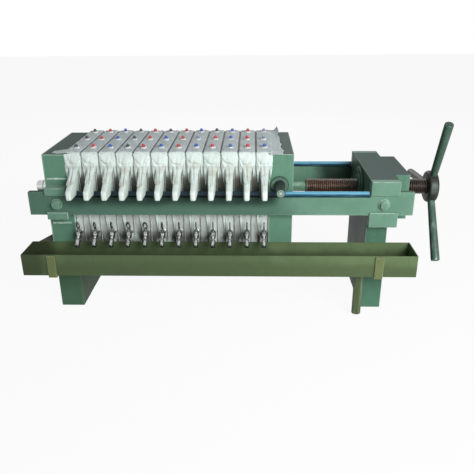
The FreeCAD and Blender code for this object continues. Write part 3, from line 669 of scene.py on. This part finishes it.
def cloth_skirt(middle, luck, sign):
    """The loose layer under the hem: as wide as the cloth at the top, it gathers to the width of
    the lug (a smooth step in height), lifts over the lug's sloping top (a softened ramp) and
    wraps down its sides, where the lift falls off across the sheet."""
    soft = 0.010
    s, t = np.linspace(-1, 1, 37), np.linspace(0, 1, 34)
    S, T = np.meshgrid(s, t, indexing="ij")
    low = 0.656 + 0.006 * luck[0] + 0.010 * S**2 + 0.002 * wave(S, (5, 11, 23), luck[3:6])
    Z = plate_top - 0.003 - T * (plate_top - 0.003 - low)
    gather = np.clip((Z - 0.686) / 0.062, 0, 1)
    gather = gather * gather * (3 - 2 * gather)
    width = 0.0182 + 0.0185 * gather ** (1.0 + 0.25 * luck[1] * S)
    ramp = lug_reach / lug_fall * soft * np.log1p(np.exp((0.707 - Z) / soft))
    X = S * width + 0.002 * np.sin(luck[2] + (plate_top - Z) * 32) * (1 - T)
    near = 1 / (1 + np.exp((np.abs(X) - 0.0172) / 0.0016))
    fall = np.clip((plate_top - Z) / 0.1, 0, 1.2)
    folds = 0.0016 * wave(S * 0.036, (150, 310, 95), luck[3:6]) * fall
    crease = 0.0014 * wave(S * 0.036 + 0.35 * (Z - 0.7), (260, 420, 170), luck[6:9]) * fall**2
    bulge = 0.004 * np.exp(-(((Z - 0.735) / 0.022) ** 2)) * (1 - np.abs(S) ** 3)
    out = 0.0044 + folds + crease + bulge + ramp * near + 0.004 * (1 - near)
    return np.stack([X + middle, sign * (plate_edge + np.maximum(out, 0.0012)), Z], axis=-1)


def cloth_corner(middle, luck, sign, centre, half, low):
    """A loose corner that hangs beside the lug: a strip whose width shrinks to a point, with a
    fold down its middle."""
    s, t = np.linspace(-1, 1, 9), np.linspace(0, 1, 20)
    S, T = np.meshgrid(s, t, indexing="ij")
    Z = corner_top - T * (corner_top - low)
    X = centre + 0.25 * half * T * luck[0] + S * half * (1 - T**1.5 * 0.96)
    out = 0.0022 + 0.0045 * np.clip(T * 1.8, 0, 1) + 0.0040 * (1 - S**2) * T * (1 - T) * 3
    out = out + 0.0012 * wave(X, (240, 410, 160), luck[3:6]) * T
    return np.stack([X + middle, sign * (plate_edge + np.maximum(out, 0.0012)), Z], axis=-1)


def cloth_tail(middle, luck, sign, left, right, low):
    """A strip of loose cloth edge below the rail that narrows to a point."""
    s, t = np.linspace(0, 1, 9), np.linspace(0, 1, 22)
    S, T = np.meshgrid(s, t, indexing="ij")
    Z = tail_top - T * (tail_top - low)
    fade = np.clip((T - 0.15) / 0.85, 0, 1)
    first = left + (right - left) * 0.86 * fade**1.1 + 0.003 * np.sin(luck[0] + T * 4.0) * T
    last = right - (right - left) * 0.06 * fade
    X = first + (last - first) * S
    Y = plate_edge + 0.0034 + 0.0012 * wave(X, (190, 350, 120), luck[3:6]) + 0.002 * (1 - T)
    return np.stack([X + middle, sign * np.maximum(Y, plate_edge + 0.0012), Z], axis=-1)


def loose_flap(corners, luck, lift):
    """A loose flap of cloth: a blend of four corners (near left, near right, far right, far left)
    with slow ripples that grow towards its free edge, and a corner that curls up by lift."""
    U, V = np.meshgrid(np.linspace(0, 1, 16), np.linspace(0, 1, 14), indexing="ij")
    a, b, c, d = (np.array(corner) for corner in corners)
    U, V = U[..., None], V[..., None]
    place = (1 - U) * (1 - V) * a + U * (1 - V) * b + U * V * c + (1 - U) * V * d
    ripple = 0.0018 * wave(place[..., 0] + 0.6 * place[..., 1], (70, 160, 310), luck[3:6]) * U[..., 0]
    ragged = 0.0035 * wave(place[..., 1], (120, 260, 480), luck[:3]) * U[..., 0] ** 4
    place[..., 0] += ragged
    place[..., 2] += np.abs(ripple) + lift * (U * V)[..., 0] ** 4
    return place


def add_cut_map(piece):
    """A metric map for the weave: level parts use x and y, hanging parts their widest run
    and height."""
    mesh = piece.data
    spot = read(mesh.vertices, "co", 3)[read(mesh.loops, "vertex_index", kind=np.int32)]
    widest = np.abs(read(mesh.polygons, "normal", 3)).argmax(axis=1)
    widest = np.repeat(widest, read(mesh.polygons, "loop_total", kind=np.int32))
    first = np.where(widest == 0, spot[:, 1], spot[:, 0])
    second = np.where(widest == 2, spot[:, 1], spot[:, 2])
    mesh.uv_layers.new(name="cut")
    mesh.uv_layers["cut"].data.foreach_set("uv", np.stack([first, second], axis=-1).ravel())


def thicken(piece, thickness):
    """Gives a sheet its thickness, half to each side."""
    solid = piece.modifiers.new("thickness", "SOLIDIFY")
    solid.thickness, solid.offset = thickness, 0.0


head_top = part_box("moving_head")[1][2]
button_rows = (-0.155, 0.015, 0.182)
for n, middle in enumerate(plate_places):
    luck = dice.uniform(-1, 1, 30) * np.concatenate([np.full(10, 1.0), np.full(20, 3.0)])
    parts = [grid_object("body", cloth_body(middle, luck[10:]))]
    for sign in (-1, 1):
        parts.append(grid_object("skirt", cloth_skirt(middle, luck, sign)))
        for place, half, low in (
            (-0.0290, 0.0125, 0.637 + 0.006 * luck[1]),
            (0.0290, 0.0100, 0.672 + 0.010 * luck[2]),
        ):
            parts.append(grid_object("corner", cloth_corner(middle, luck, sign, place, half, low)))
        low = 0.372 + 0.012 * luck[1]
        parts.append(grid_object("tail", cloth_tail(middle, luck, sign, -0.045, -0.017, low)))
    if n == 0:
        lying = head_top + 0.0012
        corners = [(0.070, -0.180, 0.789), (0.086, -0.240, 0.781)]
        corners += [(-0.014, -0.222, lying), (-0.018, -0.172, lying)]
        parts.append(grid_object("flap", loose_flap(corners, luck[10:], 0.0)))
    if n == 11:
        lying = head_top + 0.0014
        corners = [(0.980, -0.244, lying), (1.038, -0.242, lying)]
        corners += [(1.028, 0.232, lying), (0.972, 0.236, 0.786)]
        parts.append(grid_object("flap", loose_flap(corners, luck[10:], 0.030)))
        corners = [(0.975, -0.246, lying + 0.003), (1.034, -0.252, lying + 0.002)]
        corners += [(1.040, -0.205, lying + 0.004), (0.978, -0.215, 0.786)]
        parts.append(grid_object("flap", loose_flap(corners, luck[5:], 0.004)))
    cloth = joined("filter_cloth_%02d" % (n + 1), parts)
    add_cut_map(cloth)
    finish_piece(cloth, cloth_skin, "press_frame")
    thicken(cloth, 0.0009)
    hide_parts("filter_cloths")


# ---------------------------------------------------------------- cloth buttons
# Moulded buttons that pin each cloth to its plate: a white dished base about 31 mm
# across and a domed cap, coloured so that plates go back in their own order.
def turned_points(profile, place, count=20, axis=2):
    """A profile of (radius, height) turned round an upright line; axis 0 lays it along x and
    axis 1 along y."""
    profile = np.array(profile, dtype=float)
    angle = np.linspace(0, 2 * math.pi, count, endpoint=False)
    radius, height = profile[:, :1], profile[:, 1:]
    a, b, c = radius * np.cos(angle), radius * np.sin(angle), height + 0 * angle
    order = {2: (a, b, c), 0: (c, a, b), 1: (b, c, a)}[axis]
    return np.stack(order, axis=-1) + np.array(place)


def moulded(name, colour):
    """Moulded colour with slight mottling and a glossy skin."""
    tree = blank(name)
    place = tree.place()
    mottle = tree.noise(place, 260.0, 3.0)
    base = mottle.step(0.4, 0.7).tint(colour, tuple(0.72 * c for c in colour))
    return tree.surface({"Base Color": base, "Roughness": 0.35 + 0.15 * mottle, "Coat Weight": 0.3})


button_base = [
    (0.0004, 0.0), (0.0142, 0.0), (0.0156, 0.0014), (0.0150, 0.0034),
    (0.0106, 0.0056), (0.0070, 0.0066), (0.0068, 0.0084), (0.0004, 0.0086),
]
button_cap = [
    (0.0004, 0.0082), (0.0096, 0.0082), (0.0104, 0.0098), (0.0098, 0.0120), (0.0070, 0.0134),
    (0.0064, 0.0180), (0.0046, 0.0202), (0.0004, 0.0208),
]
cap_colours = {
    "red": (0.52, 0.045, 0.040),
    "blue": (0.030, 0.105, 0.420),
    "black": (0.030, 0.045, 0.060),
    "grey": (0.20, 0.27, 0.42),
}
cap_names = {"r": "red", "b": "blue", "k": "black", "g": "grey"}
cap_order = "kkk rrr bbb kkk rrr bbk rrr bgb rrk bbb rrr bgg".split()
bases, caps = [], {name: [] for name in cap_colours}
for n, middle in enumerate(plate_places):
    for row, y in enumerate(button_rows):
        spot = (middle + 0.003 * dice.uniform(-1, 1), y + 0.005 * dice.uniform(-1, 1), cloth_top + 0.0006)
        bases.append(grid_object("base", turned_points(button_base, spot), around=True, ends=True))
        cap = grid_object("cap", turned_points(button_cap, spot), around=True, ends=True)
        caps[cap_names[cap_order[n][row]]].append(cap)
bases = joined("button_bases", bases)
finish_piece(bases, moulded("button_white", (0.80, 0.82, 0.80)), "press_frame")
for name, pieces in caps.items():
    pieces = joined("button_caps_" + name, pieces)
    finish_piece(pieces, moulded("button_" + name, cap_colours[name]), "press_frame")


# ---------------------------------------------------------------- drain cocks
# Small plated brass plug cocks, one screwed into each plate: nipple, flange, upright
# barrel, a spout that leans forward, and a flat oval key to turn.
def plated(name, bright=(0.50, 0.53, 0.51), dark=(0.030, 0.036, 0.031), share=0.5):
    """Bright plating, dulled in patches, dark with oil in patches, with painted shade on its
    undersides and on the faces that look along the press, and dark on spouts below the tray's rim."""
    tree = blank(name)
    place = tree.place()
    dull = tree.noise(place, 70.0, 4.0)
    oil = tree.noise(place, 160.0, 3.0)
    facing = tree.facing().split()
    # painted shade on faces that look along x, and below on the undersides; the oil noise is real
    aside = tree.math("ABSOLUTE", facing[0])
    stain_and_shade = (oil.step(0.62 - 0.2 * share, 0.74 - 0.2 * share) + aside.step(0.45, 0.80)).clamp()
    stain_and_shade = (stain_and_shade + (1.0 - facing[2].step(-0.45, 0.0))).clamp()
    spent = (1.0 - place.split()[2].step(0.364, 0.370)) * 0.95
    base = stain_and_shade.tint(bright, dark)
    base = spent.tint(base, (0.010, 0.016, 0.012))
    metal = (0.8 - 0.75 * stain_and_shade) * (1.0 - spent)
    return tree.surface({"Base Color": base, "Roughness": 0.14 + 0.30 * dull, "Metallic": metal})


def tube_points(radii, stations, start, way, count=20):
    """Rings of given radii at given distances along a straight way from a start point."""
    way = np.array(way, dtype=float) / np.linalg.norm(way)
    across = np.cross(way, (1.0, 0.0, 0.0) if abs(way[0]) < 0.9 else (0.0, 1.0, 0.0))
    across /= np.linalg.norm(across)
    other = np.cross(way, across)
    angle = np.linspace(0, 2 * math.pi, count, endpoint=False)
    ring = np.cos(angle)[:, None] * across + np.sin(angle)[:, None] * other
    radii, stations = np.array(radii)[:, None, None], np.array(stations)[:, None, None]
    return np.array(start) + stations * way + radii * ring[None]


plating = plated("plated_brass")
barrel_y, barrel_z, lean = -0.2715, 0.400, math.radians(45)
barrel_half, stem_rise, wing_half = 0.018, 0.009, 0.017
spout_way = (0, -math.cos(lean), -math.sin(lean))
for n, x in enumerate(plate_places):
    shells = [
        tube_points([0.0002, 0.0074, 0.0074], [0, 0, 0.079], (x, -0.1915, barrel_z), (0, -1, 0)),
        tube_points(
            [0.0074, 0.0128, 0.0134, 0.0134, 0.0126, 0.0074],
            [0, 0, 0.0006, 0.0044, 0.0050, 0.0052],
            (x, -plate_edge - 0.0003, barrel_z),
            (0, -1, 0),
            6,
        ),
        turned_points(
            [(0.0066, 0.018), (0.0122, 0.018), (0.0138, 0.0165), (0.0138, 0.012), (0.0118, 0.010),
             (0.0128, 0.004), (0.0136, 0.0), (0.0128, -0.006), (0.0112, -0.012), (0.0122, -0.0145),
             (0.0116, -0.0172), (0.0090, -0.018), (0.0002, -0.018)],
            (x, barrel_y, barrel_z),
        )[::-1],
        tube_points(
            [0.0080, 0.0084, 0.0076, 0.0078, 0.0104, 0.0108, 0.0110, 0.0112, 0.0104, 0.0072, 0.0064, 0.0002],
            [0, 0.018, 0.022, 0.026, 0.029, 0.032, 0.054, 0.0605, 0.0625, 0.0625, 0.040, 0.040],
            (x, barrel_y, barrel_z),
            spout_way,
        ),
    ]
    shells = [grid_object("shell", shell, around=True) for shell in shells]
    body = joined("cock_%02d" % (n + 1), shells)
    finish_piece(body, plating, "press_frame")
    crisp(body, 40)
    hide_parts("cock_bodies")


def key_wing(x, turn):
    """A flat oval wing with a rounded rim and an oval hole: four ellipses, inner and outer, on
    each face, whose thickness swells between them; it is turned about the key's upright line."""
    angle = np.linspace(0, 2 * math.pi, 28, endpoint=False)
    sizes = [(0.0066, 0.0088), (0.0078, 0.0100), (0.0125, 0.0165), (0.0148, 0.0188)]
    half = [0.0010, 0.0026, 0.0026, 0.0010]
    rings = []
    for side in (1, -1):
        order = range(4) if side > 0 else range(3, -1, -1)
        for k in order:
            a, b = sizes[k]
            ring = side * half[k] + 0 * angle, a * np.cos(angle), b * np.sin(angle)
            rings.append(np.stack(ring, axis=-1))
    points = np.array(rings)
    points[..., 2] += barrel_z + barrel_half + stem_rise + wing_half
    c, s = math.cos(turn), math.sin(turn)
    px, py = points[..., 0].copy(), points[..., 1].copy()
    points[..., 0] = x + px * c - py * s
    points[..., 1] = barrel_y + px * s + py * c
    return points


key_turns = [0.9, 0.75, 0.6, 1.0, 1.15, 0.50, 0.40, 0.22, 0.10, 0.05, 0.10, 0.0]
key_steel = plated("key_steel", (0.16, 0.18, 0.17), (0.040, 0.048, 0.044), 0.9)
for n, x in enumerate(plate_places):
    name = "cock_key_%02d" % (n + 1)
    stem = turned_points(
        [(0.0002, -0.008), (0.0062, -0.008), (0.0064, 0.0185), (0.0092, 0.0186), (0.0096, 0.0198),
         (0.0092, 0.0212), (0.0052, 0.0222), (0.0042, 0.0262), (0.0040, 0.0290), (0.0002, 0.0292)],
        (x, barrel_y, barrel_z),
    )
    stem = grid_object("stem", stem, around=True)
    wing = grid_object("wing", key_wing(x, key_turns[n]), around=True, along=True)
    key = joined(name + "_wing", [stem, wing])
    finish_piece(key, key_steel, name)
    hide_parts(name)
dress(["cock_bodies"] + ["cock_key_%02d" % (n + 1) for n in range(12)], plating)
feed_skin = plated("pipe_plating", (0.62, 0.65, 0.63), (0.05, 0.052, 0.048), -2.0)
pipe_low, pipe_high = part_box("feed_pipe")
pipe = tube_points(
    [0.0251, 0.0280, 0.0301, 0.0301, 0.0272, 0.0272, 0.0301, 0.0301, 0.0280, 0.0280, 0.0301, 0.0301, 0.0251],
    [0, 0, 0.002, 0.030, 0.031, 0.036, 0.037, 0.082, 0.083, 0.087, 0.088, 0.124, 0.124],
    (pipe_low[0], 0, (pipe_low[2] + pipe_high[2]) / 2),
    (1, 0, 0),
    40,
)
pipe = grid_object("feed_pipe_turned", pipe, around=True, along=True)
finish_piece(pipe, feed_skin, "press_frame")
crisp(pipe, 40)
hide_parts("feed_pipe")
dress(["feed_pipe"], feed_skin)
dress(["filter_cloths"], cloth_skin)


# ---------------------------------------------------------------- closing screw
# A coarse machined screw of 76 mm with a 10 mm pitch, left oily and brown; a thin painted
# neck joins it to the moving head, and its end is keyed into the handle's hub.
screw_low, screw_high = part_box("screw_spindle")
head_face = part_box("moving_head")[1][0]
screw_z = (screw_low[2] + screw_high[2]) / 2
pitch, crest, root = 0.010, 0.038, 0.0335


def thread_points(start, stop):
    """A thread round the x axis: the radius at a point depends only on how far round and
    along it is, so that the crest climbs one pitch in a turn. The profile is a rounded
    trapezoid, and it fades out over the last turn at each end."""
    along = np.arange(start, stop, pitch / 10)
    angle = np.linspace(0, 2 * math.pi, 48, endpoint=False)
    A, T = np.meshgrid(along, angle, indexing="ij")
    phase = (A / pitch - T / (2 * math.pi)) % 1.0
    shape = np.clip((0.5 - np.abs(phase - 0.5)) * 4.2 - 0.62, 0, 1)
    fade = np.clip((A - start) / pitch, 0, 1) * np.clip((stop - A) / pitch, 0, 1)
    R = crest - (crest - root) * (1 - shape) * fade
    return np.stack([A, R * np.cos(T), screw_z + R * np.sin(T)], axis=-1)


def oily_screw():
    """Brown oil over steel: dark in the roots, with bright worn crests."""
    tree = blank("oily_screw")
    place = tree.place()
    parts = place.split()
    y, z = parts[1], parts[2] - screw_z
    radius = (y * y + z * z) ** 0.5
    worn = radius.step(0.0352, 0.0376)
    rub = tree.noise(place, 55.0, 4.0)
    long = tree.noise(place, 7.0, 3.0)
    base = worn.tint((0.012, 0.007, 0.005), (0.165, 0.078, 0.042))
    base = (worn * rub.step(0.50, 0.72) * 0.55).tint(base, (0.42, 0.30, 0.22))
    base = (long.step(0.5, 0.75) * 0.4).tint(base, (0.03, 0.022, 0.018))
    # painted shade over the end of the screw near the handle
    shaded = parts[0].step(1.25, 1.42) * 0.75
    base = shaded.tint(base, (0.012, 0.010, 0.008))
    return tree.surface({"Base Color": base, "Roughness": 0.26 + 0.22 * rub, "Metallic": 0.45 * worn})


thread_start, thread_stop = head_face + 0.083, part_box("handle_hub")[0][0] - 0.0003
thread = grid_object("closing_screw", thread_points(thread_start, thread_stop), around=True, ends=True)
finish_piece(thread, oily_screw(), "screw")
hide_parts("screw_spindle")
neck_rings = tube_points(
    [0.0002, 0.031, 0.031, 0.023, 0.023, 0.0245, 0.0245, 0.035, 0.0378, 0.0002],
    [-0.017, -0.017, -0.001, -0.001, 0.010, 0.013, 0.076, 0.080, 0.083, 0.0831],
    (head_face, 0, screw_z),
    (1, 0, 0),
    32,
)
neck = grid_object("screw_neck", neck_rings, around=True)
tones = (0.125, 0.25, 0.175), green_deep, green_pale, green
finish_piece(neck, painted_steel("neck_paint", *tones, 5.0), "screw")
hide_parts("screw_spindle")
crisp(neck, 35)
journal = tube_points(
    [0.0002, 0.0259, 0.0259, 0.0240, 0.0002],
    [-0.001, -0.001, 0.0485, 0.0498, 0.0500],
    (thread_stop + 0.0003, 0, screw_z),
    (1, 0, 0),
    32,
)
journal = grid_object("screw_journal", journal, around=True)
finish_piece(journal, thread.data.materials[0], "screw")
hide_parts("screw_spindle")


# ---------------------------------------------------------------- closing handle
# A thick cast hub with well-rounded rims, black with oil, and three heavy round bars
# screwed into it; the bars are rubbed through in patches, the lower one carries a strong painted highlight,
# and the rear one is painted darker as painted shade.
def worn_bar(name, paint, bare, share, shine=0.3, painted_highlight=0.0):
    """Dark paint over steel, rubbed through in long patches, with a painted highlight along the side
    that faces the viewer, set by the last argument, and painted shade on the far sides."""
    tree = blank(name)
    place = tree.place()
    long = tree.node("ShaderNodeMapping", None, {"Vector": place, "Scale": (1.0, 1.0, 0.16)})
    rub = tree.noise(long, 34.0, 5.0, 0.6)
    fine = tree.noise(place, 120.0, 3.0)
    bright = (rub + 0.25 * (fine - 0.5)).step(0.60 - share * 0.3, 0.82 - share * 0.3)
    base = bright.tint(paint, bare)
    if painted_highlight:
        # painted highlight: a bright band where the surface faces a fixed direction towards the viewer
        ways = {0: tree.facing(), 1: (-0.10, -0.985, 0.14)}
        toward = tree.node("ShaderNodeVectorMath", {"operation": "DOT_PRODUCT"}, ways, output=1)
        highlight_band = (toward + 0.05 * (rub - 0.5)).step(0.90, 0.985)
        base = (highlight_band * painted_highlight).tint(base, (0.50, 0.60, 0.55))
        # painted shade on the sides that face away
        base = ((1.0 - toward.step(0.35, 0.75)) * 0.75).tint(base, tuple(0.25 * c for c in paint))
    base = (fine.step(0.55, 0.7) * 0.35).tint(base, tuple(0.4 * c for c in paint))
    bump = tree.bump(rub + 0.5 * fine, 0.3, 0.0015)
    look = {"Base Color": base, "Roughness": shine + 0.25 * fine, "Metallic": 0.55 * bright}
    return tree.surface(look | {"Normal": bump, "Specular IOR Level": 0.3})


hub_low, hub_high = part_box("handle_hub")
hub_x, hub_radius = (hub_low[0] + hub_high[0]) / 2, (hub_high[2] - hub_low[2]) / 2
hub_half = (hub_high[0] - hub_low[0]) / 2


def hub_points(bore=0.026, rim=0.014, count=64):
    """A disc with a bore, turned round the x axis, whose rims are quarter rounds."""
    round_out = np.linspace(0, math.pi / 2, 6)
    left_r = hub_radius - rim + rim * np.sin(round_out)
    left_x = -hub_half + rim - rim * np.cos(round_out)
    radius = np.concatenate([[bore, bore + 0.012], left_r, left_r[::-1], [bore + 0.012, bore]])
    along = np.concatenate([[-hub_half, -hub_half], left_x, -left_x[::-1], [hub_half, hub_half]])
    profile = np.stack([radius, along], axis=-1)
    return turned_points(profile, (hub_x, 0, screw_z), count, axis=0)


hub = grid_object("handle_hub_rounded", hub_points(), around=True, along=True)
hub_skin = worn_bar("oily_hub", (0.014, 0.019, 0.015), (0.10, 0.11, 0.10), 0.10, 0.35, 0.10)
finish_piece(hub, hub_skin, "screw")
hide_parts("handle_hub")

# Columns: name, angle, paint, bare steel, share rubbed through, roughness, strength of the painted
# highlight. The rear arm's colours are darker as painted shade, for it faces away.
arms = [
    ("upper_arm", 24.7, (0.042, 0.096, 0.066), (0.09, 0.16, 0.12), 0.35, 0.32, 0.12),
    ("lower_arm", 144.7, (0.050, 0.100, 0.078), (0.16, 0.25, 0.21), 0.40, 0.22, 0.85),
    ("rear_arm", 264.7, (0.016, 0.026, 0.020), (0.06, 0.08, 0.06), 0.25, 0.35, 0.0),
]
for name, angle, *skin in arms:
    angle = math.radians(angle)
    rings = tube_points(
        [0.0002, 0.0165, 0.0168, 0.0180, 0.0208, 0.0210, 0.0203, 0.0180, 0.0002],
        [0.052, 0.052, 0.075, 0.090, 0.330, 0.366, 0.3725, 0.3748, 0.3750],
        (hub_x, 0, screw_z),
        (0, -math.sin(angle), math.cos(angle)),
        28,
    )
    arm = grid_object(name, rings, around=True)
    finish_piece(arm, worn_bar(name + "_skin", *skin), "screw")
    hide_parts("handle_arms")
dress(["handle_hub", "handle_arms", "screw_spindle"], hub.data.materials[0])


# ---------------------------------------------------------------- rollers
# Turned steel rollers that carry the moving head on the slide bars, once painted and now
# rubbed and oily, with the round ends of their axles left as grips.
roller_low, roller_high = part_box("front_roller")
axle_x = (roller_low[0] + roller_high[0]) / 2
axle_z = (roller_low[2] + roller_high[2]) / 2


def turned_steel(name, rings):
    """Paint, bare steel and painted shade in rings: between each pair of radii round the axle
    the colour steps to the next, with a little grain round the axle."""
    tree = blank(name)
    place = tree.place()
    parts = place.split()
    x, z = parts[0] - axle_x, parts[2] - axle_z
    radius = (x * x + z * z) ** 0.5
    grain = tree.noise(place, 60.0, 4.0)
    base = rings[0][1]
    for edge, colour in rings[1:]:
        base = (radius + 0.002 * (grain - 0.5)).step(edge - 0.0012, edge + 0.0012).tint(base, colour)
    base = (grain.step(0.5, 0.75) * 0.35).tint(base, (0.03, 0.05, 0.04))
    return tree.surface({"Base Color": base, "Roughness": 0.45 + 0.2 * grain, "Specular IOR Level": 0.3})


# the inner ring is a painted shadow round the axle, and the outer ring painted shade on the rim
flange_rings = [
    (0, (0.012, 0.020, 0.016)),
    (0.026, (0.085, 0.155, 0.115)),
    (0.0385, (0.035, 0.060, 0.046)),
]
dress(["front_roller", "rear_roller"], turned_steel("roller_paint", flange_rings))
# bright steel at the centre, and painted shade on the axle's side in the outermost ring
grip_rings = [
    (0, (0.34, 0.44, 0.39)),
    (0.0075, (0.10, 0.17, 0.13)),
    (0.0120, (0.22, 0.32, 0.27)),
    (0.0165, (0.020, 0.032, 0.026)),
]
dress(["roller_axles"], turned_steel("axle_paint", grip_rings))


# ---------------------------------------------------------------- pins, welds and nut flange
# Rail pins with a washer and a smaller domed head, hand-laid weld beads under thick paint
# where the keepers meet the heads, and the nut's wider seating ring on the crosshead.
pin_head = [
    (0.0002, -0.012), (0.0252, -0.012), (0.0254, 0.0035), (0.0238, 0.0045), (0.0200, 0.0045),
    (0.0196, 0.0060), (0.0196, 0.0190), (0.0180, 0.0232), (0.0130, 0.0248), (0.0002, 0.0250),
]
pins = []
rail_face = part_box("rear_rail")[1][1]
head_pin_x, crosshead_pin_x = 0.0, 1.4984
for x in (head_pin_x, crosshead_pin_x):
    for sign in (-1, 1):
        profile = [(r, sign * (rail_face + h)) for r, h in pin_head]
        points = turned_points(profile, (x, 0, screw_z), 36, axis=1)
        pins.append(grid_object("pin", points[:, ::sign], around=True))
pins = joined("rail_pin_heads", pins)
crisp(pins, 40)
finish_piece(pins, keeper_paint, "press_frame")
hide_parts("rail_pins")
dress(["rail_pins"], keeper_paint)


def bead_points(start, stop, radius, luck):
    """A weld bead: a round of varying radius along a straight joint, with a ripple every 4 mm."""
    start, stop = np.array(start), np.array(stop)
    length = np.linalg.norm(stop - start)
    along = np.linspace(0, length, int(length / 0.0010))
    ripple = 0.10 * np.sin(along * 2 * math.pi / 0.004) + 0.14 * wave(along, (60, 131, 270), luck)
    swell = radius * (1 + ripple)
    swell = swell * np.sqrt(np.clip(np.minimum(along, length - along) / 0.004, 0.01, 1))
    return tube_points(swell, along, start, stop - start, 10)


beads = []
for sign in (-1, 1):
    for name, edge in (("upper_rail_keepers", 1), ("lower_rail_keepers", 0)):
        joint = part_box(name)[edge][2]
        face = sign * (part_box("fixed_head")[1][1] + 0.0005)
        beads.append(((-0.047, face, joint), (0.047, face, joint)))
beads = [bead_points(start, stop, 0.0052, dice.uniform(-3, 3, 3)) for start, stop in beads]
beads = [grid_object("bead", points, around=True, ends=True) for points in beads]
beads = joined("weld_beads", beads)
# the frame's paint made paler: partly a painted highlight where the beads catch the light
tones = (0.26, 0.42, 0.34), green, (0.5, 0.62, 0.55), (0.42, 0.56, 0.49)
finish_piece(beads, painted_steel("bead_paint", *tones, 1.1), "press_frame")

flange_face, ring_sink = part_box("screw_nut")[0][0], 0.004
ring = [
    (0.0400, 0.0035), (0.0560, 0.0035), (0.0580, 0.0050), (0.0585, 0.0100), (0.0960, 0.0105),
    (0.0990, 0.0125), (0.0990, 0.0185), (0.0400, 0.0185),
]
ring = turned_points([(r, -ring_sink + h) for r, h in ring], (flange_face, 0, screw_z), 64, axis=0)
ring = grid_object("nut_seating_ring", ring, around=True, along=True)
crisp(ring, 40)
finish_piece(ring, nodes["screw_nut"].data.materials[0], "press_frame")
